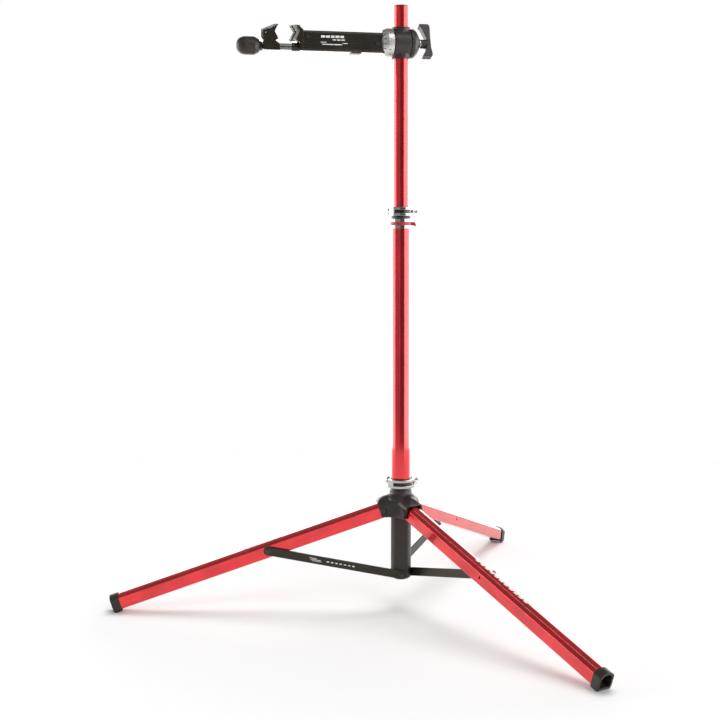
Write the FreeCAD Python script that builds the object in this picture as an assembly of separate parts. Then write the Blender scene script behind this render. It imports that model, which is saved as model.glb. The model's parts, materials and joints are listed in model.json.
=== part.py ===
"""Folding bicycle repair stand: a sliding hub on a telescopic mast, three folding legs with
bar struts, and a turning clamp arm with a screw-fed V jaw.  Millimetres, +Z up, the origin on
the floor under the mast, and the clamp arm along -X."""
import FreeCAD, Part
import math
import os

V = FreeCAD.Vector

# ---------------------------------------------------------------- driving dimensions
running = 0.05          # radial clearance of a pin or a tube that turns or slides in a bore
seat = 0.05             # clearance between two pieces that are fixed to each other
air = 0.5               # least gap between pieces that pass each other

# mast
lower_r = 19.0          # lower mast tube, outside radius
lower_wall = 1.6
upper_r = 15.9          # upper mast tube, outside radius
upper_wall = 1.6
lower_bottom = 232.0    # where the lower tube seats on the base column
lower_top = 805.0
upper_bottom = 366.0    # where the upper tube starts at rest
upper_top = 1227.0

# base column under the lower tube
column_r = 21.15
column_flat = 17.0      # distance of the three strut flats from the mast axis
column_bottom = 60.0
column_bore = 12.0
spigot_length = 30.0

# legs
leg_azimuths = (170.8, 290.8, 50.8)
leg_slope = 18.5        # degrees below horizontal when open
leg_width = 30.0
leg_depth = 31.0
leg_arch = 7.0
leg_wall = 1.6
leg_length = 590.0      # root pivot to the cut end
root_r = 38.0
root_z = 204.5
root_bolt_r = 4.0
strut_pivot_along = 252.1
sleeve_r = 6.5          # outside radius of the bearing sleeves across each leg

# foot caps
cap_length = 18.0
cap_wall = 2.0
ridge_depth = 3.6
ridge_width = 4.0

# struts
strut_thick = 3.0
strut_gap = 0.2         # strut's side to the column's flat
strut_height = 17.5
strut_low_z = 68.5
strut_bolt_r = 3.0
base_screw_r = 2.5

# hub casting
cheek_outer = 21.5      # half width over one pair of cheeks
cheek_gap = 0.6         # leg side to cheek
cheek_reach = 7.0       # beyond the root pivot, along the leg
hub_bottom = 191.0
neck_r = 22.8
neck_top = 247.0
collar_neck_wall = 1.9
collar_neck_top = 270.0
hub_bush_r = 20.6
hub_bush_length = 8.0

# quick-release collars
collar_height = 16.0
collar_wall = 2.5
skewer_r = 2.5
lever_height = 17.5
lever_wall = 3.5
lever_slot = 6.5
lever_gap = 1.5
cam_r = 6.0

# mast bushing, ferrule and keeper strap
bush_insert = 70.0
flange_height = 6.5
bush_neck_r = 17.6
ferrule_height = 19.0
ferrule_r = 19.6
strap_height = 7.0

# head
arm_z = 1154.5
sleeve_height = 63.0
sleeve_wall = 3.1
barrel_r = 27.5
barrel_front = 18.0     # towards the clamp
barrel_back = 20.0
cap_end = 37.0
tension_r = 5.0

# tee handle
washer_thick = 2.2
handle_neck_r = 9.0
handle_inner = 52.0
handle_outer = 61.0
handle_long = 41.0
handle_short = 29.0
handle_width = 16.0
handle_hex = 14.0       # across the flats of the nut let into the handle
handle_lean = -20.0     # degrees, turned about the arm axis at rest

# arm
dome_r = 28.5
dome_front = 31.0
dome_tip = 44.0
dome_tip_r = 17.5
arm_end = 202.0
arm_start = 27.0
arm_top = 18.0
arm_bottom = 21.5
arm_width = 34.0
arm_wall = 2.0
arm_round = 5.0
spigot_end = 60.0
button_at = 94.0
button_length = 20.0
button_width = 20.0
button_proud = 2.0
spring_r = 4.0
spring_wire = 1.0
spring_turns = 5

# clamp
bar_r = 6.2             # slide bar, outside radius
bar_drop = 13.0         # slide bar axis below the arm axis
bar_inner = 56.0
jaw_width = 34.0
cheek_wall = 4.0
vee_middle = 14.2       # height of the vee above the arm axis
vee_half = 13.9
inner_tip = 228.0
inner_vertex = 220.0
outer_tip = 250.0
outer_vertex = 257.5
jaw_back = 281.0
core_back = 286.0
knob_neck_start = 282.0
knob_start = 288.0
knob_end = 332.5
knob_r = 17.7
thread_r = 4.0
knob_hex = 13.0         # across the flats of the nut let into the knob
jaw_floor = 22.0        # underside of both jaws below the arm axis
bar_slot = 3.5          # floor of the slot between the cheeks, below the arm axis
strip_at = 5.5          # rubber strips, from the middle of the jaw
crown = 0.85            # how far the fixed jaw's face falls back per mm to the side
rivet_r = 1.6
rivet_z = 11.0

# ---------------------------------------------------------------- worked out from the above
strut_inner = column_flat + strut_gap
strut_outer = strut_inner + strut_thick
slope = math.radians(leg_slope)
pivot_r = root_r + strut_pivot_along * math.cos(slope)
pivot_z = root_z - strut_pivot_along * math.sin(slope)
strut_length = math.hypot(pivot_r, pivot_z - strut_low_z)
strut_rise = math.degrees(math.atan2(pivot_z - strut_low_z, pivot_r))
lower_bore = lower_r - lower_wall
upper_bore = upper_r - upper_wall
collar_neck_r = lower_r + running + collar_neck_wall
lower_collar_z = collar_neck_top - collar_height / 2 - 1.5
flange_top = lower_top + flange_height
upper_collar_z = flange_top + 0.5 + collar_height / 2
bush_top = upper_collar_z + collar_height / 2 + 1.5
sleeve_outer = upper_r + sleeve_wall


# ---------------------------------------------------------------- shape helpers
def box(x0, x1, y0, y1, z0, z1):
    return Part.makeBox(x1 - x0, y1 - y0, z1 - z0, V(x0, y0, z0))


def bar(radius, start, end):
    """Round bar between two points."""
    start, end = V(*start), V(*end)
    return Part.makeCylinder(radius, (end - start).Length, start, end - start)


def pipe(outer, inner, start, end):
    return bar(outer, start, end).cut(bar(inner, start, end))


def plate(points, thickness):
    """Flat outline, closed, pushed along a vector."""
    wire = Part.makePolygon([V(*p) for p in points] + [V(*points[0])])
    return Part.Face(wire).extrude(V(*thickness))


def turned_solid(points, axis_start, axis):
    """Outline revolved once round an axis."""
    wire = Part.makePolygon([V(*p) for p in points] + [V(*points[0])])
    return Part.Face(wire).revolve(V(*axis_start), V(*axis), 360)


def turned(shape, degrees, axis=(0, 0, 1), at=(0, 0, 0)):
    copy = shape.copy()
    copy.rotate(V(*at), V(*axis), degrees)
    return copy


def shifted(shape, x, y, z):
    copy = shape.copy()
    copy.translate(V(x, y, z))
    return copy


def joined(first, *others):
    return first.multiFuse(list(others)).removeSplitter()


def less(shape, *tools):
    return shape.cut(list(tools)) if len(tools) > 1 else shape.cut(tools[0])


def hex_bar(across, start, length, axis):
    """Hexagonal bar along the X or the Y axis."""
    ring = []
    for i in range(6):
        a = math.radians(60 * i + 30)
        ring.append((across / math.sqrt(3) * math.cos(a), across / math.sqrt(3) * math.sin(a)))
    x, y, z = start
    if axis == "x":
        return plate([(x, y + p, z + q) for p, q in ring], (length, 0, 0))
    return plate([(x + p, y, z + q) for p, q in ring], (0, length, 0))


def save(node, *solids):
    """Write one node; every solid in it has to be closed and valid."""
    pieces = [s for solid in solids for s in solid.Solids]
    if not pieces or not all(p.isValid() and p.Volume > 0 for p in pieces):
        raise ValueError("bad solid in " + node)
    shape = pieces[0] if len(pieces) == 1 else Part.makeCompound(pieces)
    shape.exportStep("parts/" + node + ".step")
    print(node, len(pieces), round(shape.Volume / 1000, 2))


# ---------------------------------------------------------------- legs
def leg_wire(grow, x):
    """Leg section at x, grown outwards: flat sides, a low arch on top, rounded bottom corners."""
    half = leg_width / 2 + grow
    top = leg_depth / 2 + grow
    low = -leg_depth / 2 - grow
    shoulder = leg_depth / 2 - leg_arch + min(grow, 0)
    r = 3.0 + grow
    k = r * (1 - math.sqrt(0.5))
    edges = [
        Part.Arc(V(x, -half, shoulder), V(x, 0, top), V(x, half, shoulder)).toShape(),
        Part.LineSegment(V(x, half, shoulder), V(x, half, low + r)).toShape(),
        Part.Arc(V(x, half, low + r), V(x, half - k, low + k), V(x, half - r, low)).toShape(),
        Part.LineSegment(V(x, half - r, low), V(x, r - half, low)).toShape(),
        Part.Arc(V(x, r - half, low), V(x, k - half, low + k), V(x, -half, low + r)).toShape(),
        Part.LineSegment(V(x, -half, low + r), V(x, -half, shoulder)).toShape(),
    ]
    return Part.Wire(edges)


def leg_bar(grow, start, end):
    return Part.Face(leg_wire(grow, start)).extrude(V(end - start, 0, 0))


def cross_bar(radius, along, half):
    return bar(radius, (along, -half, 0), (along, half, 0))


def leg_tube():
    """Leg extrusion along +X from its root pivot, hollow, with a round root end."""
    root_end = leg_depth / 2 - 0.1
    blank = leg_bar(0, -root_end, leg_length)
    round_end = joined(cross_bar(root_end, 0, leg_width), box(0, leg_length, -99, 99, -99, 99))
    tube = less(blank.common(round_end), leg_bar(-leg_wall, -root_end - 1, leg_length + 1))
    groove_z = leg_depth / 2 - 1.7
    grooves = [bar(0.9, (-20, y, groove_z), (leg_length + 1, y, groove_z)) for y in (-8.5, 8.5)]
    holes = [cross_bar(sleeve_r + seat, 0, 20), cross_bar(sleeve_r + seat, strut_pivot_along, 20)]
    return less(tube, *grooves, *holes)


def leg_sleeve(along, bore):
    half = leg_width / 2
    return less(cross_bar(sleeve_r, along, half), cross_bar(bore, along, half + 1))


def foot_cap():
    """Moulded cap round the leg's cut end, with a cup inside it and two ridges underneath."""
    start = leg_length - cap_length + cap_wall
    end = leg_length + cap_wall
    skin = leg_bar(cap_wall, start, end)
    pocket = leg_bar(seat, start - 1, leg_length + seat).cut(leg_bar(-leg_wall - seat, start, end))
    mouth = leg_bar(-leg_wall - 1.0, start + 2, end + 1)
    low = -leg_depth / 2 - cap_wall
    ridges = []
    for side in (-1, 1):
        y = side * (leg_width / 2 - ridge_width / 2)
        ridges.append(box(start, end, y - ridge_width / 2, y + ridge_width / 2,
                          low - ridge_depth + cap_wall, low + 1))
    return less(joined(skin, *ridges), pocket, mouth)


def open_leg(shape):
    """From the leg's own frame to its open place at azimuth 0."""
    return shifted(turned(shape, leg_slope, (0, 1, 0)), root_r, 0, root_z)


def strut_bar():
    half = strut_height / 2
    y0, y1 = strut_inner, strut_outer
    ends = [bar(half, (x, y0, 0), (x, y1, 0)) for x in (0, strut_length)]
    flat = joined(box(0, strut_length, y0, y1, -half, half), *ends)
    low_hole = bar(base_screw_r + running, (0, y0 - 1, 0), (0, y1 + 1, 0))
    high_hole = bar(strut_bolt_r + seat, (strut_length, y0 - 1, 0), (strut_length, y1 + 1, 0))
    return less(flat, low_hole, high_hole)


def strut_bolt():
    """Button-headed pivot bolt, which stops short of the leg's side."""
    x = strut_length
    inner = leg_width / 2 + air
    head = bar(5.5, (x, strut_outer, 0), (x, strut_outer + 2.6, 0))
    head = head.makeChamfer(1.0, [e for e in head.Edges if e.BoundBox.YMin > strut_outer + 2])
    shank = bar(strut_bolt_r, (x, inner, 0), (x, strut_outer + 0.5, 0))
    return less(joined(head, shank), hex_bar(4.0, (x, strut_outer + 0.9, 0), 3, "y"))


def strut_spacer():
    x = strut_length
    inner = leg_width / 2 + air
    return pipe(5.0, strut_bolt_r + seat, (x, inner, 0), (x, strut_inner, 0))


def open_strut(shape):
    return shifted(turned(shape, -strut_rise, (0, 1, 0)), 0, 0, strut_low_z)


def make_legs():
    cap = open_leg(foot_cap())
    cap = cap.cut(box(400, 800, -99, 99, -60, 0))
    sleeves = [leg_sleeve(0, root_bolt_r + running), leg_sleeve(strut_pivot_along, 2.6)]
    pieces = {
        "leg_tube": [open_leg(leg_tube())],
        "leg_sleeves": [open_leg(s) for s in sleeves],
        "foot_cap": [cap],
        "strut_bar": [open_strut(strut_bar())],
        "strut_pivot": [open_strut(strut_bolt()), open_strut(strut_spacer())],
    }
    for name, azimuth in zip(("left", "front", "rear"), leg_azimuths):
        for piece, solids in pieces.items():
            save(name + "_" + piece, *[turned(s, azimuth) for s in solids])


# ---------------------------------------------------------------- base column and lower mast
def base_column():
    """Three-flatted column under the lower tube, with a spigot up into it."""
    body = bar(column_r, (0, 0, column_bottom), (0, 0, lower_bottom))
    bottom = [e for e in body.Edges if e.BoundBox.ZMax < column_bottom + 1]
    body = body.makeChamfer(2.0, bottom)
    for azimuth in leg_azimuths:
        flat = box(-60, 60, column_flat, 60, column_bottom - 1, lower_bottom + 1)
        body = body.cut(turned(flat, azimuth))
    top = lower_bottom + spigot_length
    spigot = bar(lower_bore - seat, (0, 0, lower_bottom - 1), (0, 0, top))
    bore = bar(column_bore, (0, 0, column_bottom - 1), (0, 0, top + 1))
    body = joined(body, spigot).cut(bore)
    for azimuth in leg_azimuths:
        tapped = bar(base_screw_r + seat, (0, column_bore - 2, strut_low_z),
                     (0, column_flat + 5, strut_low_z))
        body = body.cut(turned(tapped, azimuth))
    return body


def column_plug():
    disc = bar(15.5, (0, 0, column_bottom - 2.5), (0, 0, column_bottom))
    rim = [e for e in disc.Edges if e.BoundBox.ZMax < column_bottom - 2]
    disc = disc.makeChamfer(1.2, rim)
    stem = bar(column_bore - seat, (0, 0, column_bottom - 1), (0, 0, column_bottom + 4))
    return joined(disc, stem)


def base_screws():
    screws = []
    for azimuth in leg_azimuths:
        y0 = strut_outer + 0.1
        head = bar(4.6, (0, y0, strut_low_z), (0, y0 + 2.2, strut_low_z))
        head = head.makeChamfer(0.8, [e for e in head.Edges if e.BoundBox.YMin > y0 + 2])
        shank = bar(base_screw_r, (0, column_bore + 0.6, strut_low_z), (0, y0 + 0.5, strut_low_z))
        socket = hex_bar(3.0, (0, y0 + 0.8, strut_low_z), 3, "y")
        screws.append(turned(less(joined(head, shank), socket), azimuth))
    return screws


def mast_bushing():
    """Plastic bushing in the lower tube's mouth: insert, flange, and a slit clamping neck."""
    body = joined(
        bar(lower_bore - seat, (0, 0, lower_top - bush_insert), (0, 0, lower_top)),
        bar(ferrule_r, (0, 0, lower_top), (0, 0, flange_top)),
        bar(bush_neck_r, (0, 0, flange_top), (0, 0, bush_top)))
    slits = [turned(box(0, 60, -0.75, 0.75, flange_top + 1, bush_top + 1), 120 * i + 30)
             for i in range(3)]
    bore = bar(upper_r + running, (0, 0, lower_top - bush_insert - 1), (0, 0, bush_top + 1))
    return less(body, bore, *slits)


def keeper_strap():
    """Moulded strap round the ferrule with a drooping pull tab."""
    mid = lower_top - ferrule_height / 2
    z0, z1 = mid - strap_height / 2, mid + strap_height / 2
    inner = ferrule_r + seat
    band = pipe(inner + 1.1, inner, (0, 0, z0), (0, 0, z1))
    tab = plate([(inner + 0.5, -1.2, z0), (inner + 6, -1.2, z0), (inner + 9.5, -1.2, z0 - 2.5),
                 (inner + 11, -1.2, z0 + 1), (inner + 8, -1.2, z1 - 0.5),
                 (inner + 0.5, -1.2, z1 - 0.5)], (0, 2.4, 0))
    return turned(joined(band, tab), -12)


def make_lower_mast():
    save("base_column", base_column())
    save("column_plug", column_plug())
    save("strut_base_screws", *base_screws())
    save("lower_mast_tube", pipe(lower_r, lower_bore, (0, 0, lower_bottom), (0, 0, lower_top)))
    save("mast_bushing", mast_bushing())
    ferrule = pipe(ferrule_r, lower_r + seat, (0, 0, lower_top - ferrule_height),
                   (0, 0, lower_top - seat))
    save("mast_ferrule", ferrule)
    save("keeper_strap", keeper_strap())


# ---------------------------------------------------------------- hub
def hub_lobe():
    """One clevis lobe at azimuth 0: a side outline crossed with an arched section."""
    c, s = math.cos(slope), math.sin(slope)

    def at(along, normal):
        return (root_r + along * c + normal * s, root_z - along * s + normal * c)

    low = at(cheek_reach, (hub_bottom - root_z + cheek_reach * s) / c)
    high = at(cheek_reach, 19.0)
    shoulder = at(cheek_reach - 6, 24.0)
    outline = [(0, hub_bottom), low, high, shoulder, (26, neck_top - 8), (0, neck_top - 8)]
    side = plate([(r, -cheek_outer, z) for r, z in outline], (0, 2 * cheek_outer, 0))
    half = cheek_outer
    arch = Part.Wire([
        Part.Arc(V(-80, -half, 10), V(-80, 0, 26), V(-80, half, 10)).toShape(),
        Part.LineSegment(V(-80, half, 10), V(-80, half, -60)).toShape(),
        Part.LineSegment(V(-80, half, -60), V(-80, -half, -60)).toShape(),
        Part.LineSegment(V(-80, -half, -60), V(-80, -half, 10)).toShape(),
    ])
    section = open_leg(Part.Face(arch).extrude(V(160, 0, 0)))
    return side.common(section)


def hub_casting():
    """Domed hub with three clevises, open downwards, and a slit clamping neck on top."""
    lobes = [turned(hub_lobe(), azimuth) for azimuth in leg_azimuths]
    core = turned_solid([(0, 0, hub_bottom), (25.5, 0, hub_bottom), (25.5, 0, 222), (32, 0, 226),
                         (31, 0, 231), (neck_r + 1.5, 0, 237.5), (neck_r, 0, 240),
                         (neck_r, 0, neck_top), (collar_neck_r, 0, neck_top),
                         (collar_neck_r, 0, collar_neck_top), (0, 0, collar_neck_top)],
                        (0, 0, 0), (0, 0, 1))
    body = joined(core, *lobes)
    skirt = bar(column_r + 0.35, (0, 0, hub_bottom - 1), (0, 0, lower_bottom))
    pocket = bar(hub_bush_r + seat, (0, 0, lower_bottom - 1), (0, 0, lower_bottom + hub_bush_length))
    bore = bar(lower_r + running + 0.03, (0, 0, lower_bottom), (0, 0, collar_neck_top + 1))
    body = less(body, skirt, pocket, bore)
    gap = leg_width / 2 + cheek_gap
    roof = leg_depth / 2 + 0.8
    for azimuth in leg_azimuths:
        slot = open_leg(box(-30, 60, -gap, gap, -60, roof)).cut(bar(19, (0, 0, 150), (0, 0, 300)))
        bolt_hole = bar(root_bolt_r + seat, (root_r, -40, root_z), (root_r, 40, root_z))
        head_seat = bar(7.2, (root_r, cheek_outer - 2.4, root_z), (root_r, 40, root_z))
        nut_seat = bar(8.0, (root_r, -40, root_z), (root_r, 2.4 - cheek_outer, root_z))
        tools = [turned(tool, azimuth) for tool in (slot, bolt_hole, head_seat, nut_seat)]
        body = less(body, *tools)
    slits = [turned(box(0, 60, -0.75, 0.75, neck_top + 1, collar_neck_top + 1), 120 * i + 50.8)
             for i in range(3)]
    return less(body, *slits)


def root_bolt():
    """Cap bolt with a hexagon socket, in the left-hand cheek's seat."""
    base = cheek_outer - 2.4 + seat
    head = bar(6.5, (root_r, base, root_z), (root_r, base + 3.6, root_z))
    head = head.makeChamfer(0.9, [e for e in head.Edges if e.BoundBox.YMin > base + 3])
    shank = bar(root_bolt_r, (root_r, -cheek_outer - 1.2, root_z), (root_r, base + 0.5, root_z))
    return less(joined(head, shank), hex_bar(5.0, (root_r, base + 1.4, root_z), 4, "y"))


def root_nut():
    face = -cheek_outer + 2.4 - seat
    nut = hex_bar(12.6, (root_r, face - 3.4, root_z), 3.4, "y")
    return nut.cut(bar(root_bolt_r + seat, (root_r, -40, root_z), (root_r, 0, root_z)))


def make_hub():
    save("hub_casting", hub_casting())
    bush = pipe(hub_bush_r, lower_r + running, (0, 0, lower_bottom + 0.2),
                (0, 0, lower_bottom + hub_bush_length))
    save("hub_bushing", bush)
    save("leg_root_bolts", *[turned(root_bolt(), a) for a in leg_azimuths])
    save("leg_root_nuts", *[turned(root_nut(), a) for a in leg_azimuths])


# ---------------------------------------------------------------- quick-release collars
def collar_sizes(neck):
    """Sizes of a collar that clamps a neck: ring radii, skewer offset, ear half width, cam x."""
    inner = neck + seat
    outer = inner + collar_wall
    skewer_y = outer + skewer_r + 1.2
    ear = outer - 2.0
    return inner, outer, skewer_y, ear, ear + 2.6 + cam_r + 0.4


def collar_ring(neck):
    """Split ring with two ears behind it for the skewer."""
    inner, outer, skewer_y, ear, _ = collar_sizes(neck)
    half = collar_height / 2
    body = joined(bar(outer, (0, 0, -half), (0, 0, half)),
                  box(-ear, ear, outer * 0.55, skewer_y + 5.2, -half + 1, half - 1))
    slit = box(-1, 1, 0, 99, -half - 1, half + 1)
    hole = bar(skewer_r + seat, (-99, skewer_y, 0), (99, skewer_y, 0))
    return less(body, bar(inner, (0, 0, -half - 1), (0, 0, half + 1)), slit, hole)


def collar_skewer(neck):
    """Skewer rod with the upright barrel pin that the lever turns on, and its washer."""
    _, _, y, ear, cam_x = collar_sizes(neck)
    rod = bar(skewer_r, (-ear - 6.5, y, 0), (cam_x + 6.6, y, 0))
    barrel = bar(3.2, (cam_x, y, -lever_height / 2 + 0.6), (cam_x, y, lever_height / 2 - 0.6))
    washer = bar(6.8, (ear + seat, y, 0), (ear + 2.2, y, 0))
    button = bar(3.0, (cam_x + 6.4, y, 0), (cam_x + 8.6, y, 0))
    return joined(rod, barrel, washer, button)


def collar_nut(neck):
    """Domed round nut on the skewer's far end."""
    _, _, y, ear, _ = collar_sizes(neck)
    x = -ear - seat
    nut = turned_solid([(x, y, 0), (x, y + 8.3, 0), (x - 2.6, y + 8.3, 0), (x - 5.6, y + 6.0, 0),
                        (x - 8.0, y + 3.4, 0), (x - 8.0, y, 0)], (x, y, 0), (1, 0, 0))
    return nut.cut(bar(skewer_r + seat, (x - 6.6, y, 0), (x + 1, y, 0)))


def collar_lever(neck):
    """Curved two-rail lever wrapped round the front of the ring, from its cam to its tip."""
    _, outer, y, _, cam_x = collar_sizes(neck)
    inner = outer + lever_gap
    rim = inner + lever_wall
    half = lever_height / 2
    band = pipe(rim, inner, (0, 0, -half), (0, 0, half))
    tip = turned(box(-99, 0, 0, 99, -half - 1, half + 1), 15)
    back = box(-99, 99, 0, 99, -half - 1, half + 1)
    band = less(band, back, tip)
    prong = plate([(inner, -0.5, -half), (rim, -0.5, -half), (cam_x + 4.8, y - 3.6, -half),
                   (cam_x + 5.6, y, -half), (cam_x - 5.6, y, -half),
                   (cam_x - 4.8, y - 3.6, -half)], (0, 0, lever_height))
    cam = bar(cam_r, (cam_x, y, -half), (cam_x, y, half))
    slot_start = -rim * math.cos(math.radians(52))
    slot = box(slot_start, 99, -99, 99, -lever_slot / 2, lever_slot / 2)
    pin = bar(3.2 + running, (cam_x, y, -99), (cam_x, y, 99))
    return less(joined(band, prong, cam), slot, pin)


def make_collars():
    places = (("upper", bush_neck_r, upper_collar_z), ("lower", collar_neck_r, lower_collar_z))
    for name, neck, z in places:
        pieces = {"ring": collar_ring(neck), "skewer": collar_skewer(neck),
                  "nut": collar_nut(neck), "lever": collar_lever(neck)}
        for piece, shape in pieces.items():
            save(name + "_collar_" + piece, shifted(turned(shape, leg_azimuths[0] - 180), 0, 0, z))


# ---------------------------------------------------------------- upper mast and head
def mast_glide():
    """Guide ring under the upper tube; the tube can swivel on its spigot."""
    ring = bar(lower_bore - 0.1, (0, 0, upper_bottom - 12.2), (0, 0, upper_bottom - 0.2))
    spigot = bar(upper_bore - running, (0, 0, upper_bottom - 1), (0, 0, upper_bottom + 22))
    return joined(ring, spigot).cut(bar(9, (0, 0, upper_bottom - 20), (0, 0, upper_bottom + 30)))


def upper_mast_tube():
    tube = pipe(upper_r, upper_bore, (0, 0, upper_bottom), (0, 0, upper_top))
    return tube.cut(bar(tension_r + 0.08, (-40, 0, arm_z), (40, 0, arm_z)))


def mast_top_cap():
    lid = bar(upper_r - 0.6, (0, 0, upper_top), (0, 0, upper_top + 1.6))
    lid = lid.makeChamfer(0.8, [e for e in lid.Edges if e.BoundBox.ZMin > upper_top + 1])
    plug = bar(upper_bore - seat, (0, 0, upper_top - 14), (0, 0, upper_top + 0.5))
    return joined(lid, plug).cut(bar(11, (0, 0, upper_top - 15), (0, 0, upper_top - 2)))


def head_casting():
    """Cross casting: an upright sleeve on the mast and a short barrel along the arm axis."""
    half = sleeve_height / 2
    sleeve = bar(sleeve_outer, (0, 0, arm_z - half), (0, 0, arm_z + half))
    barrel = bar(barrel_r, (-barrel_front, 0, arm_z), (barrel_back, 0, arm_z))
    mast_bore = bar(upper_r + seat, (0, 0, arm_z - 99), (0, 0, arm_z + 99))
    rod_bore = bar(tension_r + 0.08, (-99, 0, arm_z), (99, 0, arm_z))
    rebate = pipe(barrel_r + 9, barrel_r - 1.6, (barrel_back - 4, 0, arm_z), (99, 0, arm_z))
    body = joined(sleeve, barrel)
    return less(body, mast_bore, rod_bore, rebate)


def head_end_cap():
    """Domed cap over the barrel's handle end, lipped over the casting."""
    x0, x1 = barrel_back, cap_end
    r = barrel_r + 1.3
    dome = turned_solid([(x0 - 4, 0, 0), (x0 - 4, r, 0), (x0 + 3, r, 0), (x0 + 8, r - 3.2, 0),
                         (x0 + 12, r - 9, 0), (x1 - 2, r - 14.5, 0), (x1, handle_neck_r + 1.5, 0),
                         (x1, 0, 0)], (0, 0, 0), (1, 0, 0))
    dome = shifted(dome, 0, 0, arm_z)
    seat_cut = bar(barrel_r - 1.6 + seat, (x0 - 5, 0, arm_z), (x0 + seat, 0, arm_z))
    rod_bore = bar(tension_r + 0.08, (0, 0, arm_z), (99, 0, arm_z))
    mast_side = bar(sleeve_outer + seat, (0, 0, arm_z - 99), (0, 0, arm_z + 99))
    return less(dome, seat_cut, rod_bore, mast_side)


def head_pin():
    """Cross pin that ties the head casting to the mast tube."""
    z = arm_z - sleeve_height / 2 + 8
    return bar(2.0, (0, -sleeve_outer + 0.6, z), (0, sleeve_outer - 0.6, z))


def make_upper_mast():
    z = arm_z - sleeve_height / 2 + 8
    pin_hole = bar(2.0 + seat, (0, -40, z), (0, 40, z))
    save("mast_glide", mast_glide())
    save("upper_mast_tube", upper_mast_tube().cut(pin_hole))
    save("mast_top_cap", mast_top_cap())
    save("head_casting", head_casting().cut(pin_hole))
    save("head_end_cap", head_end_cap())
    save("head_cross_pin", head_pin())


# ---------------------------------------------------------------- tee handle
def handle_washer():
    return pipe(handle_neck_r + 0.5, tension_r + 0.08, (cap_end + seat, 0, arm_z),
                (cap_end + washer_thick, 0, arm_z))


def tee_handle():
    """Tee handle: round neck and a bar whose horns curve back towards the head."""
    x0 = cap_end + washer_thick + seat
    neck = bar(handle_neck_r, (x0, 0, 0), (handle_outer - 2, 0, 0))
    top, low, out = handle_long, -handle_short, handle_outer
    inner = handle_inner
    points = [(inner - 0.5, 12), (inner - 4.5, 22), (inner - 9.5, top - 7), (inner - 13, top - 3),
              (inner - 12.5, top), (out - 3, top), (out - 0.5, top - 3), (out, top - 8),
              (out - 1, 12), (out - 1, -10), (out + 1, low + 7), (out + 1, low + 2),
              (out - 1, low), (inner - 10, low), (inner - 9.5, low + 3), (inner - 6, low + 8),
              (inner - 2, -12)]
    wing = plate([(x, -handle_width / 2, z) for x, z in points], (0, handle_width, 0))
    body = joined(neck, wing)
    body = less(body, bar(tension_r + 0.12, (x0 - 1, 0, 0), (handle_outer - 3, 0, 0)),
                hex_bar(handle_hex, (x0 - 1, 0, 0), 9, "x"))
    return shifted(turned(body, handle_lean, (1, 0, 0)), 0, 0, arm_z)


def handle_nut():
    x0 = cap_end + washer_thick + 2 * seat
    nut = hex_bar(handle_hex - 2 * seat, (x0, 0, 0), 7.8, "x")
    nut = nut.cut(bar(tension_r + running, (0, 0, 0), (99, 0, 0)))
    return shifted(turned(nut, handle_lean, (1, 0, 0)), 0, 0, arm_z)


def make_handle():
    save("handle_washer", handle_washer())
    save("tee_handle", tee_handle())
    save("handle_nut", handle_nut())


# ---------------------------------------------------------------- arm (own frame: +X to the clamp)
def arm_place(shape):
    """From the arm's own frame, +X towards the clamp, to its place along -X."""
    return shifted(turned(shape, 180), 0, 0, arm_z)


def arm_section(shrink, x0, x1):
    half = arm_width / 2 - shrink
    body = box(x0, x1, -half, half, -arm_bottom + shrink, arm_top - shrink)
    long_edges = [e for e in body.Edges if abs(e.BoundBox.XLength - (x1 - x0)) < 0.01]
    return body.makeFillet(arm_round - shrink, long_edges)


def dome_solid(grow):
    x0 = barrel_front + 1.6
    r = dome_r + grow
    profile = [(x0 - 4 * grow, 0, 0), (x0 - 4 * grow, r, 0), (dome_front, r, 0),
               (dome_front + 5, r - 1.6, 0), (dome_front + 9.4, r - 5.0, 0),
               (dome_tip + grow, dome_tip_r + grow, 0), (dome_tip + grow, 0, 0)]
    return turned_solid(profile, (0, 0, 0), (1, 0, 0))


def index_dome():
    """Bright root fitting: a toothed rim, a dome with index dots, and a spigot into the arm."""
    x0 = barrel_front + 1.6
    dome = dome_solid(0)
    spigot = arm_section(arm_wall + seat, dome_tip - 4, spigot_end)
    notches = []
    for i in range(36):
        notch = box(x0 - 1, x0 + 2.6, -0.8, 0.8, dome_r - 1.3, dome_r + 2)
        notches.append(turned(notch, 10 * i, (1, 0, 0)))
    dots = []
    for i in range(24):
        dot = bar(0.9, (dome_front - 2.5, 0, dome_r - 0.6), (dome_front - 2.5, 0, dome_r + 2))
        dots.append(turned(dot, 15 * i + 7.5, (1, 0, 0)))
    sleeve_room = bar(sleeve_outer + air, (0, 0, -99), (0, 0, 99))
    rod = bar(tension_r + seat, (0, 0, 0), (spigot_end - 8, 0, 0))
    slide_room = bar(bar_r + air, (dome_tip - 8, 0, -bar_drop), (99, 0, -bar_drop))
    screw_holes = [bar(2.05, (52, y, -4), (52, y * 3, -4)) for y in (-8, 8)]
    body = joined(dome, spigot)
    return less(body, *notches, *dots, sleeve_room, rod, slide_room, *screw_holes)


def arm_tube():
    """Rounded box tube, scribed over the dome, with button, screw and spring openings."""
    tube = arm_section(0, arm_start, arm_end).cut(arm_section(arm_wall, arm_start - 1, arm_end + 1))
    half = button_length / 2 + 0.3
    wide = button_width / 2 + 0.3
    button_hole = box(button_at - half, button_at + half, -wide, wide,
                      -arm_bottom - 1, -arm_bottom + 5)
    screw_holes = [bar(2.05, (52, y, -4), (52, y * 2, -4)) for y in (-12, 12)]
    end_holes = [bar(2.05, (arm_end - 8, y, 6), (arm_end - 8, y * 2, 6)) for y in (-12, 12)]
    return less(tube, dome_solid(seat), button_hole, *screw_holes, *end_holes)


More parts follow.
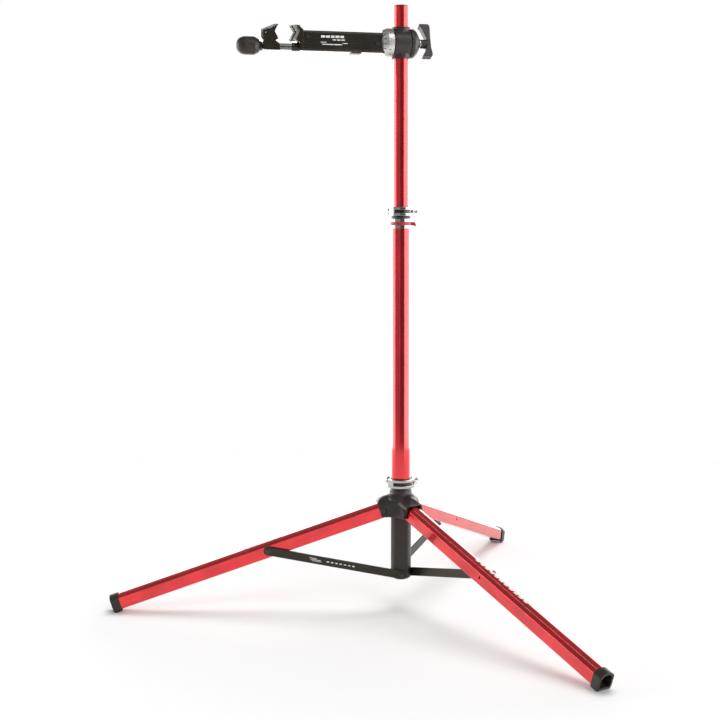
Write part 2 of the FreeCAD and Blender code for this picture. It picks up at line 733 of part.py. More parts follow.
def arm_screws():
    """Button-headed screws in both sides of the arm, at the dome spigot and at the jaw spigot."""
    screws = []
    side = arm_width / 2
    for x, z in ((52, -4), (arm_end - 8, 6)):
        for s in (-1, 1):
            head = bar(3.6, (x, s * side, z), (x, s * (side + 1.6), z))
            shank = bar(2.0, (x, s * (side - 7), z), (x, s * (side + 0.5), z))
            socket = bar(1.3, (x, s * (side + 0.6), z), (x, s * (side + 3), z))
            screws.append(less(joined(head, shank), socket))
    return screws


def tension_rod():
    return bar(tension_r, (-handle_outer + 6, 0, 0), (spigot_end - 12, 0, 0))


def inner_jaw_body():
    """Black fixed jaw: spigot in the arm, two cheeks, and a boss round the slide bar."""
    half = jaw_width / 2
    mid = vee_middle
    outline = [(arm_end, -jaw_floor + 0.5), (arm_end + 6, -jaw_floor + 0.5), (arm_end + 7, -4),
               (arm_end + 13, -3), (arm_end + 14, mid - vee_half), (arm_end + 7.5, mid),
               (arm_end + 12, mid + vee_half), (arm_end + 6, 24), (arm_end, 19)]
    body = plate([(x, -half, z) for x, z in outline], (0, 2 * half, 0))
    boss = bar(8.1, (arm_end, 0, -bar_drop), (arm_end + 21, 0, -bar_drop))
    spigot = arm_section(arm_wall + seat, arm_end - 16, arm_end + 1)
    slot = box(arm_end + 5, 240, cheek_wall - half, half - cheek_wall, -bar_slot, 60)
    bore = bar(bar_r + running, (150, 0, -bar_drop), (240, 0, -bar_drop))
    screw_holes = [bar(2.05, (arm_end - 8, y, 6), (arm_end - 8, y * 3, 6)) for y in (-6, 6)]
    return less(joined(body, boss, spigot), slot, bore, *screw_holes)


def crowned(points, near, far):
    """Outline in XZ swept out to both sides of the arm, falling back evenly as it goes."""
    sides = []
    for side in (-1, 1):
        start = [(x - crown * near, side * near, z) for x, z in points]
        sides.append(plate(start, (-crown * (far - near), side * (far - near), 0)))
    return sides


def inner_jaw_core():
    """Bright vee block between the fixed jaw's cheeks, crowned across its width."""
    half = jaw_width / 2 - cheek_wall - seat
    mid = vee_middle
    back = arm_end + 5 + seat
    low = 0.1 - bar_slot
    points = [(inner_tip, mid + vee_half), (inner_vertex, mid), (inner_tip, mid - vee_half),
              (inner_tip - 3, low), (back, low), (back, 22), (back + 6, mid + vee_half)]
    block = joined(*crowned(points, 0, half))
    block = block.common(box(back, inner_tip + 1, -half, half, low, mid + vee_half))
    groove = [(inner_tip + 9, mid + vee_half + 9), (inner_tip - 2, mid + vee_half),
              (inner_vertex - 2.2, mid), (inner_tip - 2, mid - vee_half),
              (inner_tip + 9, mid - vee_half - 9)]
    return less(block, *crowned(groove, strip_at - 1.3, strip_at + 1.3))


def inner_jaw_pads():
    """Two rubber strips let into the fixed jaw's vee."""
    mid = vee_middle
    points = [(inner_tip - 0.4, mid + vee_half - 1), (inner_vertex - 0.1, mid),
              (inner_tip - 0.4, mid - vee_half + 1), (inner_tip - 1.9, mid - vee_half + 1),
              (inner_vertex - 2.1, mid), (inner_tip - 1.9, mid + vee_half - 1)]
    return crowned(points, strip_at - 1.2, strip_at + 1.2)


def release_button():
    """Saddle-shaped button: a pad under the arm and two lipped cheeks beside the slide bar."""
    half = button_length / 2
    wide = button_width / 2
    inner = bar_r + air + 0.1
    floor = -arm_bottom + arm_wall
    low = -arm_bottom - button_proud
    pad = box(button_at - half, button_at + half, -wide, wide, low, low + button_proud)
    pad = pad.makeFillet(1.0, [e for e in pad.Edges if e.BoundBox.ZMax < low + 0.1])
    cheeks = []
    for y0, y1 in ((inner, wide), (-wide, -inner)):
        cheeks.append(box(button_at - half, button_at + half, y0, y1, low + 1, floor + 4))
        cheeks.append(box(button_at - half - 2, button_at + half + 2, y0, y1, floor + 0.1, floor + 4))
    return joined(pad, *cheeks)


def latch_plate():
    """Steel saddle plate on the button, bridging the slide bar with room to lift."""
    foot = -arm_bottom + arm_wall + 4 + seat
    wide = button_width / 2
    top = -bar_drop + bar_r + 9
    body = box(button_at - 1.5, button_at + 1.5, -wide, wide, foot, top)
    gap = bar_r + air
    arch = joined(box(0, 200, -gap, gap, -60, -bar_drop),
                  bar(gap, (0, 0, -bar_drop), (200, 0, -bar_drop)))
    return body.cut(arch)


def latch_spring():
    """Compression spring between the latch plate and the arm's top wall."""
    low = -bar_drop + bar_r + 9 + spring_wire / 2 + seat
    high = arm_top - arm_wall - spring_wire / 2 - seat
    helix = Part.makeHelix((high - low) / spring_turns, high - low, spring_r)
    profile = Part.Wire([Part.makeCircle(spring_wire / 2, V(spring_r, 0, 0), V(0, 1, 0.1))])
    coil = Part.Wire(helix.Edges).makePipeShell([profile], True, True)
    return shifted(coil, button_at, 0, low)


def slide_bar():
    """Bar that slides in the arm and carries the outer jaw, with a threaded outer end."""
    z = -bar_drop
    shoulder = jaw_back - 11
    rod = joined(bar(bar_r, (bar_inner, 0, z), (shoulder, 0, z)),
                 bar(thread_r, (shoulder - 1, 0, z), (knob_start + 28, 0, z)))
    notches = [box(x, x + 1.2, -9, 9, z + bar_r - 0.6, z + 20) for x in range(80, 130, 3)]
    return less(rod, *notches)


def outer_jaw_body():
    """Black sliding jaw: a carriage on the slide bar with two cheeks."""
    half = jaw_width / 2
    mid = vee_middle
    low = -jaw_floor
    outline = [(outer_tip - 2, low), (outer_tip - 1.5, -10), (outer_vertex - 0.5, -3.4),
               (outer_tip + 2, mid - vee_half), (outer_vertex + 1, mid),
               (outer_tip + 2, mid + vee_half), (outer_tip + 15, 19.5), (jaw_back - 2, 16.5),
               (jaw_back, 14.5), (jaw_back, low + 1.5), (jaw_back - 1.5, low)]
    body = plate([(x, -half, z) for x, z in outline], (0, 2 * half, 0))
    slot = box(200, 300, cheek_wall - half, half - cheek_wall, -bar_slot, 60)
    z = -bar_drop
    bore = bar(bar_r + running, (200, 0, z), (jaw_back - 4, 0, z))
    stud = bar(thread_r + 0.08, (200, 0, z), (300, 0, z))
    rivet = rivet_bar(rivet_r + seat, jaw_width)
    return less(body, slot, bore, stud, rivet)


def outer_jaw_core():
    """Bright vee block between the sliding jaw's cheeks."""
    half = jaw_width / 2 - cheek_wall - seat
    mid = vee_middle
    low = 0.1 - bar_slot
    points = [(outer_tip, mid + vee_half), (outer_tip + 3, mid + vee_half + 0.6),
              (outer_tip + 10, mid + vee_half), (jaw_back - 5, 21), (core_back - 2, 18),
              (core_back, 15), (core_back, 3), (jaw_back, low), (outer_vertex - 1, low),
              (outer_tip, mid - vee_half), (outer_vertex, mid)]
    block = plate([(x, -half, z) for x, z in points], (0, 2 * half, 0))
    rivet = rivet_bar(rivet_r + seat, jaw_width)
    grooves = plate([(outer_tip + 2, -1.3, mid + vee_half + 2), (outer_vertex + 2.2, -1.3, mid),
                     (outer_tip + 2, -1.3, mid - vee_half - 1), (outer_tip - 20, -1.3, mid - 40),
                     (outer_tip - 20, -1.3, mid + 40)], (0, 2.6, 0))
    return less(block, rivet, shifted(grooves, 0, strip_at, 0), shifted(grooves, 0, -strip_at, 0))


def outer_jaw_pads():
    """Two rubber strips let into the sliding jaw's vee."""
    mid = vee_middle
    points = [(outer_tip + 0.4, mid + vee_half - 1), (outer_tip + 2.0, mid + vee_half - 1),
              (outer_vertex + 2.1, mid), (outer_tip + 2.0, mid - vee_half + 1),
              (outer_tip + 0.4, mid - vee_half + 1), (outer_vertex + 0.1, mid)]
    return [plate([(x, y - 1.2, z) for x, z in points], (0, 2.4, 0)) for y in (-strip_at, strip_at)]


def rivet_bar(radius, half):
    return bar(radius, (jaw_back - 5, -half, rivet_z), (jaw_back - 5, half, rivet_z))


def clamp_knob():
    """Rounded knob with finger flutes, a tapered neck and a blind bore for the stud."""
    r = knob_r
    x0, x1 = knob_start, knob_end
    profile = [(knob_neck_start, 0, 0), (knob_neck_start, 9.0, 0), (x0 - 1.2, 9.0, 0),
               (x0 - 0.5, 12.5, 0), (x0 + 8.0, r - 0.6, 0), (x0 + 9.5, r, 0)]
    dome_start = x0 + 25.5
    for i in range(9):
        a = math.radians(10 * i)
        profile.append((dome_start + (x1 - dome_start) * math.sin(a), r * math.cos(a) ** 0.8, 0))
    profile.append((x1, 0, 0))
    knob = turned_solid(profile, (0, 0, 0), (1, 0, 0))
    flutes = []
    for i in range(8):
        flute = bar(5.0, (x0 + 7, 0, r + 4.2), (x0 + 26, 0, r + 4.2))
        flutes.append(turned(flute, 45 * i, (1, 0, 0)))
    bore = bar(thread_r + 0.12, (knob_neck_start - 1, 0, 0), (x0 + 37, 0, 0))
    socket = hex_bar(knob_hex, (x0 + 3, 0, 0), 12, "x")
    mouth = bar(knob_hex / math.sqrt(3), (knob_neck_start - 1, 0, 0), (x0 + 3.1, 0, 0))
    return shifted(less(knob, *flutes, bore, socket, mouth), 0, 0, -bar_drop)


def knob_nut():
    nut = hex_bar(knob_hex - 2 * seat, (knob_start + 3 + seat, 0, 0), 11.8, "x")
    nut = nut.cut(bar(thread_r + running, (0, 0, 0), (999, 0, 0)))
    return shifted(nut, 0, 0, -bar_drop)


def make_arm():
    pieces = {
        "index_dome": [index_dome()], "arm_tube": [arm_tube()], "arm_screws": arm_screws(),
        "tension_rod": [tension_rod()], "inner_jaw_body": [inner_jaw_body()],
        "inner_jaw_core": [inner_jaw_core()], "inner_jaw_pads": inner_jaw_pads(),
        "release_button": [release_button()], "latch_plate": [latch_plate()],
        "latch_spring": [latch_spring()], "slide_bar": [slide_bar()],
        "outer_jaw_body": [outer_jaw_body()], "outer_jaw_core": [outer_jaw_core()],
        "outer_jaw_pads": outer_jaw_pads(), "jaw_rivet": [rivet_bar(rivet_r, jaw_width / 2 - 0.3)],
        "clamp_knob": [clamp_knob()], "knob_nut": [knob_nut()],
    }
    for node, solids in pieces.items():
        save(node, *[arm_place(s) for s in solids])


# ---------------------------------------------------------------- build
os.makedirs("parts", exist_ok=True)
make_lower_mast()
make_hub()
make_collars()
make_legs()
make_upper_mast()
make_handle()
make_arm()
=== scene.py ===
import json
import math
import bpy
import bmesh
from mathutils import Matrix, Vector


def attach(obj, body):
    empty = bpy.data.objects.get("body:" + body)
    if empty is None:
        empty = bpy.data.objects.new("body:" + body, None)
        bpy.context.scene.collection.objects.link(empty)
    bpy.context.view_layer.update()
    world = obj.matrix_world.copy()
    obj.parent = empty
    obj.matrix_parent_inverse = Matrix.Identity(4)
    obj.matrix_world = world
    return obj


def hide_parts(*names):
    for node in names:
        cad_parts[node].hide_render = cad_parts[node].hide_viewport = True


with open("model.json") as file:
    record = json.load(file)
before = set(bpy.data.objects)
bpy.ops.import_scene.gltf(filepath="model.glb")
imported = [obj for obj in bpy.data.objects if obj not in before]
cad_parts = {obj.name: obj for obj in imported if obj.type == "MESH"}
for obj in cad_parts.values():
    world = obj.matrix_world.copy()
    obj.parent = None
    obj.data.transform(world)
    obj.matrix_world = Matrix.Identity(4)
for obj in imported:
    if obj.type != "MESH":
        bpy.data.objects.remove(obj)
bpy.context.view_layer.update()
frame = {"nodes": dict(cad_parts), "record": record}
nodes = frame["nodes"]
record = frame["record"]
bodyOfNode = {node: body for body, names in record["behaviour"]["bodies"].items() for node in names}
slotOfNode = {part["node"]: part["material_slot"] for part in record["subparts"]}
mm = 0.001

stand = {
    "legAzimuths": {"left": 170.8, "front": 290.8, "rear": 50.8},  # degrees round the mast
    "legSlope": 18.5,            # degrees below level
    "legRoot": (0.038, 0.2045),  # root pivot, out from the mast and up
    "strutRoot": 0.0685,         # the struts' lower pivots, up
    "strutRise": 11.42,          # degrees above level
    "armHeight": 1.1545,         # the arm's axis, up
}
print("frame loaded:", len(nodes), "nodes")


def placePiece(name, data, body, material, smooth):
    piece = bpy.data.objects.new(name, data)
    bpy.context.scene.collection.objects.link(piece)
    data.materials.clear()
    data.materials.append(material)
    data.polygons.foreach_set("use_smooth", [smooth] * len(data.polygons))
    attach(piece, body)
    return piece


def placeMark(name, mesh, place, body, material):
    # turns a printed mark to its place on the stand and makes a piece of it
    bmesh.ops.transform(mesh, matrix=place, verts=mesh.verts)
    bmesh.ops.recalc_face_normals(mesh, faces=mesh.faces)
    data = bpy.data.meshes.new(name)
    mesh.to_mesh(data)
    mesh.free()
    placePiece(name, data, body, material, smooth=False)


def turned(degrees, axis):
    return Matrix.Rotation(math.radians(degrees), 4, axis)


def legPlace(leg):
    # from a leg's own frame, X along it and Z over it, to the open stand
    out, up = stand["legRoot"]
    root = Matrix.Translation((out, 0, up))
    return turned(stand["legAzimuths"][leg], "Z") @ root @ turned(stand["legSlope"], "Y")


def strutPlace(leg):
    # from a strut's own frame, X along it from the mast, to the open stand
    up = Matrix.Translation((0, 0, stand["strutRoot"]))
    return turned(stand["legAzimuths"][leg], "Z") @ up @ turned(-stand["strutRise"], "Y")


def armPlace():
    # from the arm's own frame, X towards the clamp, to its place
    return Matrix.Translation((0, 0, stand["armHeight"])) @ turned(180, "Z")


class Wiring:
    # a material's node tree with short calls for adding and joining nodes
    def __init__(self, name):
        self.material = bpy.data.materials.new(name)
        self.material.use_nodes = True
        self.tree = self.material.node_tree
        self.shader = self.tree.nodes["Principled BSDF"]
        self.count = 0

    def add(self, kind, **values):
        node = self.tree.nodes.new(kind)
        self.count += 1
        node.location = (-220 * self.count, 120 * (self.count % 3))
        for key, value in values.items():
            setattr(node, key, value)
        return node

    def join(self, out, into):
        self.tree.links.new(out, into)

    def noise(self, coords, scale, detail):
        node = self.add("ShaderNodeTexNoise")
        node.inputs["Scale"].default_value = scale
        node.inputs["Detail"].default_value = detail
        node.inputs["Roughness"].default_value = 0.55
        self.join(coords, node.inputs["Vector"])
        return node.outputs["Fac"]

    def spread(self, value, low, high, fromLow, fromHigh):
        node = self.add("ShaderNodeMapRange", clamp=True)
        node.inputs["From Min"].default_value = fromLow
        node.inputs["From Max"].default_value = fromHigh
        node.inputs["To Min"].default_value = low
        node.inputs["To Max"].default_value = high
        self.join(value, node.inputs["Value"])
        return node.outputs["Result"]

    def mix(self, share, first, second):
        node = self.add("ShaderNodeMix", data_type="RGBA")
        self.join(share, node.inputs["Factor"])
        for socket, colour in ((node.inputs[6], first), (node.inputs[7], second)):
            if isinstance(colour, tuple):
                socket.default_value = (*colour, 1)
            else:
                self.join(colour, socket)
        return node.outputs[2]


# what a look has unless it says otherwise, with edge and depth in mm
plainLook = {"turn": (0, 0, 0), "stretch": (1, 1, 1), "fleck": 0.3, "uneven": 0.06, "bump": 0.3,
             "depth": 0.03, "edge": 0.5, "edgeWearAndHighlight": 0.25, "coat": 0.0, "coatRough": 0.1, "lighter": 1.6}
patches = {"scale": 22.0, "detail": 2.0, "dark": 0.86, "pale": 1.12, "range": (0.35, 0.65)}
grainOf = {"detail": 5.0, "flecks": (0.45, 0.75), "roughness": (0.3, 0.7)}
polishAndHighlight = {"samples": 6, "range": (0.86, 0.995)}  # cosines of the rounding, at a fully lightened edge and on the flat


def shade(colour, share):
    return tuple(min(1.0, c * share) for c in colour)


def makeFinish(name, ownLook):
    look = {**plainLook, **ownLook}
    colour = look["colour"]
    light = look.get("light", shade(colour, look["lighter"]))
    w = Wiring(name)
    coords = w.add("ShaderNodeTexCoord").outputs["Object"]
    lined = w.add("ShaderNodeMapping", vector_type="TEXTURE")
    lined.inputs["Rotation"].default_value = look["turn"]
    lined.inputs["Scale"].default_value = look["stretch"]
    w.join(coords, lined.inputs["Vector"])
    grain = w.noise(lined.outputs["Vector"], look["grain"], grainOf["detail"])
    cloud = w.noise(coords, patches["scale"], patches["detail"])

    patchy = w.spread(cloud, 0, 1, *patches["range"])
    base = w.mix(patchy, shade(colour, patches["dark"]), shade(colour, patches["pale"]))
    fine = w.mix(w.spread(grain, 0, look["fleck"], *grainOf["flecks"]), base, light)

    # edges are lightened towards the light colour: real wear from handling on most finishes, and on the legs
    # a painted highlight line along the shoulders
    rounded = w.add("ShaderNodeBevel", samples=polishAndHighlight["samples"])
    rounded.inputs["Radius"].default_value = look["edge"] * mm
    solid = w.add("ShaderNodeNewGeometry").outputs["Normal"]
    turnAway = w.add("ShaderNodeVectorMath", operation="DOT_PRODUCT")
    w.join(rounded.outputs["Normal"], turnAway.inputs[0])
    w.join(solid, turnAway.inputs[1])
    # lightened edges: painted highlight on the leg shoulders, wear on the other finishes
    wearAndHighlight = w.spread(turnAway.outputs["Value"], look["edgeWearAndHighlight"], 0, *polishAndHighlight["range"])
    w.join(w.mix(wearAndHighlight, fine, light), w.shader.inputs["Base Color"])

    smoother, rougher = look["rough"] - look["uneven"], look["rough"] + look["uneven"]
    w.join(w.spread(grain, smoother, rougher, *grainOf["roughness"]), w.shader.inputs["Roughness"])
    bump = w.add("ShaderNodeBump")
    bump.inputs["Strength"].default_value = look["bump"]
    bump.inputs["Distance"].default_value = look["depth"] * mm
    w.join(grain, bump.inputs["Height"])
    w.join(rounded.outputs["Normal"], bump.inputs["Normal"])
    w.join(bump.outputs["Normal"], w.shader.inputs["Normal"])
    w.shader.inputs["Metallic"].default_value = look["metal"]
    w.shader.inputs["Coat Weight"].default_value = look["coat"]
    w.shader.inputs["Coat Roughness"].default_value = look["coatRough"]
    return w.material


redLook = {"colour": (0.78, 0.020, 0.026), "light": (0.95, 0.12, 0.13), "metal": 0.9, "rough": 0.13,
           "uneven": 0.03, "coat": 1.0, "coatRough": 0.05, "grain": 900.0, "stretch": (1, 1, 60),
           "bump": 0.12, "depth": 0.02, "fleck": 0.12, "edgeWearAndHighlight": 0.35, "edge": 0.4}
looks = {
    "red_anodised": redLook,
    "black_anodised": {"colour": (0.024, 0.019, 0.012), "light": (0.10, 0.09, 0.075), "metal": 0.55,
                       "rough": 0.34, "grain": 2600.0, "bump": 0.2, "depth": 0.015, "edgeWearAndHighlight": 0.35,
                       "edge": 0.6, "coat": 0.2},
    "black_casting": {"colour": (0.022, 0.014, 0.012), "light": (0.085, 0.07, 0.063), "metal": 0.0,
                      "rough": 0.42, "grain": 1500.0, "bump": 0.5, "depth": 0.06, "edgeWearAndHighlight": 0.2, "edge": 0.8},
    "black_plastic": {"colour": (0.018, 0.012, 0.010), "light": (0.07, 0.058, 0.052), "metal": 0.0,
                      "rough": 0.47, "grain": 2200.0, "bump": 0.4, "depth": 0.04, "edgeWearAndHighlight": 0.15, "edge": 0.6},
    "black_rubber": {"colour": (0.018, 0.018, 0.018), "light": (0.04, 0.04, 0.04), "metal": 0.0,
                     "rough": 0.72, "grain": 1800.0, "bump": 0.6, "depth": 0.06, "edgeWearAndHighlight": 0.1, "edge": 0.2},
    "red_rubber": {"colour": (0.40, 0.018, 0.03), "light": (0.55, 0.06, 0.07), "metal": 0.0, "rough": 0.5,
                   "grain": 1800.0, "bump": 0.4, "depth": 0.04, "edgeWearAndHighlight": 0.15, "edge": 0.3},
    "bright_alloy": {"colour": (0.42, 0.42, 0.41), "light": (0.66, 0.66, 0.65), "metal": 1.0, "rough": 0.13,
                     "grain": 1200.0, "bump": 0.1, "depth": 0.01, "edgeWearAndHighlight": 0.4, "edge": 0.5, "uneven": 0.04},
    "satin_alloy": {"colour": (0.64, 0.65, 0.62), "light": (0.8, 0.8, 0.78), "metal": 0.95, "rough": 0.36,
                    "grain": 3200.0, "bump": 0.3, "depth": 0.02, "edgeWearAndHighlight": 0.4, "edge": 0.4},
    "steel": {"colour": (0.58, 0.58, 0.57), "light": (0.75, 0.75, 0.74), "metal": 1.0, "rough": 0.27,
              "grain": 1500.0, "stretch": (30, 1, 1), "bump": 0.2, "depth": 0.01, "edgeWearAndHighlight": 0.3, "edge": 0.2},
    "black_steel": {"colour": (0.05, 0.045, 0.042), "light": (0.25, 0.24, 0.23), "metal": 0.7, "rough": 0.33,
                    "grain": 2400.0, "bump": 0.25, "depth": 0.02, "edgeWearAndHighlight": 0.5, "edge": 0.3},
    "nylon": {"colour": (0.72, 0.70, 0.64), "light": (0.82, 0.80, 0.76), "metal": 0.0, "rough": 0.45,
              "grain": 1200.0, "bump": 0.3, "depth": 0.03, "edgeWearAndHighlight": 0.1, "edge": 0.3},
    "brass": {"colour": (0.70, 0.50, 0.20), "light": (0.85, 0.68, 0.35), "metal": 1.0, "rough": 0.28,
              "grain": 1400.0, "bump": 0.2, "depth": 0.01, "edgeWearAndHighlight": 0.3, "edge": 0.2},
}

# the drawn lines of a leg run along it, so each leg has its own turn of the red
ownFinish = {"arm_tube": "armBlack", "clamp_knob": "knobBlack", "slide_bar": "barDark"}
for leg, azimuth in stand["legAzimuths"].items():
    ownFinish[leg + "_leg_tube"] = leg + "Red"
    # each leg's wide edge rounding, strong edge lightening and pink light colour paint a highlight line along
    # the shoulders of its arched top
    looks[leg + "Red"] = {**redLook, "turn": (0, math.radians(stand["legSlope"]), math.radians(azimuth)),
                          "stretch": (60, 1, 1), "edge": 1.2, "edgeWearAndHighlight": 0.8, "light": (1.0, 0.30, 0.31)}
looks["armBlack"] = {**looks["black_anodised"], "stretch": (50, 1, 1), "grain": 1100.0}
looks["knobBlack"] = {**looks["black_plastic"], "colour": (0.020, 0.013, 0.009), "rough": 0.5}
looks["barDark"] = {**looks["steel"], "colour": (0.20, 0.19, 0.18), "light": (0.4, 0.39, 0.38)}

printed = {"metal": 0.0, "grain": 2500.0, "edge": 0.05, "edgeWearAndHighlight": 0.0}
looks["markWhite"] = {**printed, "colour": (0.78, 0.76, 0.73), "rough": 0.5}
looks["markPink"] = {**printed, "colour": (0.95, 0.52, 0.49), "rough": 0.4}
looks["markDark"] = {**printed, "colour": (0.03, 0.03, 0.03), "rough": 0.6}
finishes = {name: makeFinish(name, look) for name, look in looks.items()}


def finishOf(node):
    return finishes[ownFinish.get(node, slotOfNode[node])]


for node, piece in nodes.items():
    piece.data.materials.clear()
    piece.data.materials.append(finishOf(node))
print("finishes given to every node:", len(finishes))

# cast and moulded pieces get softer edges than their CAD solids; weld and voxel are in mm
melt = {"weld": 0.004, "factor": 0.5}
softPieces = {
    "hub_casting": {"voxel": 0.95, "rounds": 16},
    "head_casting": {"voxel": 0.8, "rounds": 16},
    "head_end_cap": {"voxel": 0.7, "rounds": 8},
    "tee_handle": {"voxel": 0.55, "rounds": 14},
    "clamp_knob": {"voxel": 0.6, "rounds": 20},
    "upper_collar_lever": {"voxel": 0.4, "rounds": 5},
    "lower_collar_lever": {"voxel": 0.4, "rounds": 5},
    "left_foot_cap": {"voxel": 0.5, "rounds": 5},
    "front_foot_cap": {"voxel": 0.5, "rounds": 5},
    "rear_foot_cap": {"voxel": 0.5, "rounds": 5},
    "inner_jaw_body": {"voxel": 0.5, "rounds": 4},
    "outer_jaw_body": {"voxel": 0.5, "rounds": 4},
}


def soften(node, size):
    mesh = bmesh.new()
    mesh.from_mesh(nodes[node].data)
    bmesh.ops.remove_doubles(mesh, verts=mesh.verts, dist=melt["weld"] * mm)
    rough = bpy.data.meshes.new(node + "Rough")
    mesh.to_mesh(rough)
    mesh.free()
    carrier = bpy.data.objects.new(node + "Rough", rough)
    bpy.context.scene.collection.objects.link(carrier)
    remesh = carrier.modifiers.new("remesh", "REMESH")
    remesh.mode = "VOXEL"
    remesh.voxel_size = size["voxel"] * mm
    smooth = carrier.modifiers.new("smooth", "SMOOTH")
    smooth.factor = melt["factor"]
    smooth.iterations = size["rounds"]
    graph = bpy.context.evaluated_depsgraph_get()
    ready = bpy.data.meshes.new_from_object(carrier.evaluated_get(graph))
    bpy.data.objects.remove(carrier)
    piece = placePiece(node + "_soft", ready, bodyOfNode[node], finishOf(node), smooth=True)
    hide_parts(node)
    print("softened", node, len(ready.polygons))


for node, size in softPieces.items():
    soften(node, size)


def flatMark(name, low, high, place, body, colour):
    # a thin plate between two opposite corners in mm, in the frame that place turns
    low, high = Vector([c * mm for c in low]), Vector([c * mm for c in high])
    mesh = bmesh.new()
    bmesh.ops.create_cube(mesh, size=1.0)
    bmesh.ops.scale(mesh, vec=high - low, verts=mesh.verts)
    bmesh.ops.translate(mesh, vec=(low + high) / 2, verts=mesh.verts)
    placeMark(name, mesh, place, body, finishes[colour])


def barMarks(name, marks, place, body):
    # bars on a flat side, in mm: each has its start and end along it, its middle and how tall it is
    for i, (start, end, middle, tall) in enumerate(marks["bars"]):
        z = middle + marks["height"]
        low = (start, marks["side"] - marks["sunk"], z - tall / 2)
        high = (end, marks["side"] + marks["proud"], z + tall / 2)
        flatMark("%s%d" % (name, i), low, high, place, body, "markWhite")


armMarks = {
    "side": 17.0, "sunk": 0.05, "proud": 0.12, "height": -1.0,
    "bars": [(121, 128, 7.5, 4.4), (130, 138, 7.5, 4.4), (140, 147, 7.5, 4.4), (149, 157, 7.5, 4.4),
             (159, 167, 7.5, 4.4), (119, 126, 1.5, 2.2), (128, 135, 1.5, 2.2), (137, 144, 1.5, 2.2),
             (124, 165, -7.5, 1.6), (113, 123, -4.8, 1.3), (156, 168, -3.6, 1.3)],
}
barMarks("armMark", armMarks, armPlace(), "arm")

domeTicks = {
    "count": 16, "sunk": 0.05,
    "cone": {"along": 36.0, "high": 26.9, "lean": 37.7, "long": 5.2, "wide": 1.9, "proud": 0.12},
    "rim": {"from": 25.0, "to": 30.4, "high": 28.5, "wide": 0.95, "proud": 0.1},
}


def domeTick(i):
    # one tick on the dome's cone and one on its rim
    spun = armPlace() @ turned(360 * (i + 0.5) / domeTicks["count"], "X")
    cone, rim, sunk = domeTicks["cone"], domeTicks["rim"], domeTicks["sunk"]
    onCone = spun @ Matrix.Translation((cone["along"] * mm, 0, cone["high"] * mm)) @ turned(cone["lean"], "Y")
    flatMark("domeTick%d" % i, (0, -cone["wide"] / 2, -sunk), (cone["long"], cone["wide"] / 2, cone["proud"]),
             onCone, "arm", "markDark")
    flatMark("rimTick%d" % i, (rim["from"], -rim["wide"] / 2, rim["high"] - sunk),
             (rim["to"], rim["wide"] / 2, rim["high"] + rim["proud"]), spun, "arm", "markDark")


for i in range(domeTicks["count"]):
    domeTick(i)

# slanted marks over the arched top of a leg, in metres; the first ones are taller than the rest
legMarks = {
    "legs": {  # start and end along the leg, and the two sides across it
        "front": (0.215, 0.375, -0.001, 0.0125),
        "left": (0.215, 0.350, -0.0105, 0.001),
    },
    "count": 11, "tall": 7, "shortShare": 0.6, "gap": 0.35, "lean": 0.004, "bends": 6,
    "archRadius": 0.01957, "archTop": 0.0155, "lift": 0.00012, "thick": 0.0001,
}


def archMark(name, leg, along, across):
    mesh = bmesh.new()
    bmesh.ops.create_grid(mesh, x_segments=1, y_segments=legMarks["bends"], size=0.5)
    top, radius = legMarks["archTop"], legMarks["archRadius"]
    for v in mesh.verts:
        share = v.co.y + 0.5
        y = across[0] + share * (across[1] - across[0])
        x = along[0] + (v.co.x + 0.5) * (along[1] - along[0]) + legMarks["lean"] * share
        z = top - radius + math.sqrt(radius * radius - y * y) + legMarks["lift"]
        v.co = (x, y, z)
    bmesh.ops.solidify(mesh, geom=mesh.faces, thickness=legMarks["thick"])
    placeMark(name, mesh, legPlace(leg), leg + "_leg", finishes["markPink"])


for leg, (start, end, low, high) in legMarks["legs"].items():
    step = (end - start) / legMarks["count"]
    for i in range(legMarks["count"]):
        first = start + i * step
        tall = 1.0 if i < legMarks["tall"] else legMarks["shortShare"]
        archMark("%sLegMark%d" % (leg, i), leg, (first, first + step * (1 - legMarks["gap"])),
                 (low, low + (high - low) * tall))

strutMarks = {
    "side": 20.2, "sunk": 0.05, "proud": 0.12, "height": 0.0,
    "bars": [(181, 196, 2.6, 1.2), (172, 194, -0.2, 1.2), (170, 190, -2.8, 1.0),
             (154, 159, 0, 2.4), (145, 150, 0, 2.4), (136, 141, 0, 2.4), (127, 132, 0, 2.4),
             (118, 123, 0, 2.4), (109, 114, 0, 2.4), (100, 105, 0, 2.4)],
}
barMarks("strutMark", strutMarks, strutPlace("left"), "left_strut")
print("marks laid on the arm, the legs and the left strut")

ground = {"radius": 1.9, "sides": 64, "below": 0.5, "colour": (0.80, 0.80, 0.80, 1), "rough": 0.9}
floorMesh = bmesh.new()
bmesh.ops.create_circle(floorMesh, cap_ends=True, segments=ground["sides"], radius=ground["radius"])
floorData = bpy.data.meshes.new("floor")
floorMesh.to_mesh(floorData)
floorMesh.free()
floor = bpy.data.objects.new("floor", floorData)
bpy.context.scene.collection.objects.link(floor)
floor.location.z = -ground["below"] * mm
paper = bpy.data.materials.new("studioFloor")
paper.use_nodes = True
paper.node_tree.nodes["Principled BSDF"].inputs["Base Color"].default_value = ground["colour"]
paper.node_tree.nodes["Principled BSDF"].inputs["Roughness"].default_value = ground["rough"]
floorData.materials.append(paper)


def setUp(name, data, place, gaze, roll=0.0):
    # hangs a lamp or the camera at its place, looking along gaze
    holder = bpy.data.objects.new(name, data)
    bpy.context.scene.collection.objects.link(holder)
    holder.location = place
    holder.rotation_mode = "QUATERNION"
    holder.rotation_quaternion = gaze.to_track_quat("-Z", "Y") @ turned(roll, "Z").to_quaternion()
    return holder


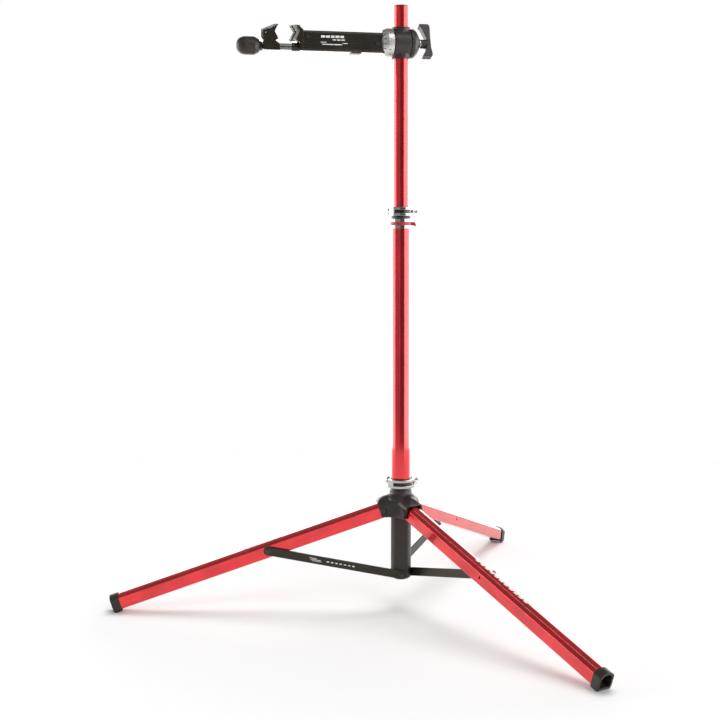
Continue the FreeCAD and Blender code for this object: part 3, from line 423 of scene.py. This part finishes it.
shot = {"place": (-0.6542, -2.4594, 0.7816), "azimuth": 77.0, "down": 5.95, "roll": -0.16,
        "lens": 62.08, "film": 36.0}
azimuth, down = math.radians(shot["azimuth"]), math.radians(shot["down"])
gaze = Vector((math.cos(azimuth) * math.cos(down), math.sin(azimuth) * math.cos(down), -math.sin(down)))
lens = bpy.data.cameras.new("camera")
lens.lens = shot["lens"]
lens.sensor_width = shot["film"]
bpy.context.scene.camera = setUp("camera", lens, shot["place"], gaze, shot["roll"])
bpy.context.scene.view_settings.view_transform = "Standard"

# soft daylight for the floor and the matt pieces, from behind on the right
daylight = {"along": (-0.28, -0.42, -1.0), "power": 1.75, "wide": 38}
day = bpy.data.lights.new("day", "SUN")
day.energy = daylight["power"]
day.angle = math.radians(daylight["wide"])
setUp("day", day, (0, 0, 0), Vector(daylight["along"])).visible_glossy = False

# a narrow light beside the camera, drawn out as a line on the lower mast
strip = {"place": (-1.36, -2.67, 0.55), "at": (0, 0, 0.5), "size": (0.16, 0.9), "power": 0.3}
lamp = bpy.data.lights.new("strip", "AREA")
lamp.shape = "RECTANGLE"
lamp.size, lamp.size_y = strip["size"]
lamp.energy = strip["power"]
setUp("strip", lamp, strip["place"], Vector(strip["at"]) - Vector(strip["place"]))

# the studio round the stand: white on all sides, darker overhead and behind the camera
studio = {
    "seen": 1.0, "around": 4.0,
    "zones": [  # direction, cosines where it starts and is full, brightness
        ((0.0, 0.0, 1.0), 0.30, 0.45, 0.26),
        ((0.10, -0.75, 0.66), 0.90, 0.94, 4.0),
        ((-0.522, -0.852, 0.0), 0.42, 0.55, 0.42),
        ((0.026, -0.999, 0.0), 0.84, 0.90, 0.15),
    ],
}
world = bpy.data.worlds.new("studio")
bpy.context.scene.world = world
world.use_nodes = True
tree = world.node_tree
back = tree.nodes["Background"]
back.inputs["Color"].default_value = (1, 1, 1, 1)
aim = tree.nodes.new("ShaderNodeTexCoord").outputs["Generated"]
rayKind = tree.nodes.new("ShaderNodeLightPath")


def blend(share, first, second):
    node = tree.nodes.new("ShaderNodeMix")
    tree.links.new(share, node.inputs["Factor"])
    for socket, value in ((node.inputs["A"], first), (node.inputs["B"], second)):
        if isinstance(value, float):
            socket.default_value = value
        else:
            tree.links.new(value, socket)
    return node.outputs["Result"]


around = studio["around"]
for towards, start, full, brightness in studio["zones"]:
    near = tree.nodes.new("ShaderNodeVectorMath")
    near.operation = "DOT_PRODUCT"
    near.inputs[1].default_value = Vector(towards).normalized()
    tree.links.new(aim, near.inputs[0])
    share = tree.nodes.new("ShaderNodeMapRange")
    share.interpolation_type = "SMOOTHSTEP"
    share.inputs["From Min"].default_value = start
    share.inputs["From Max"].default_value = full
    tree.links.new(near.outputs["Value"], share.inputs["Value"])
    around = blend(share.outputs["Result"], around, brightness)
tree.links.new(blend(rayKind.outputs["Is Camera Ray"], around, studio["seen"]), back.inputs["Strength"])
print("stage, camera and lights set")
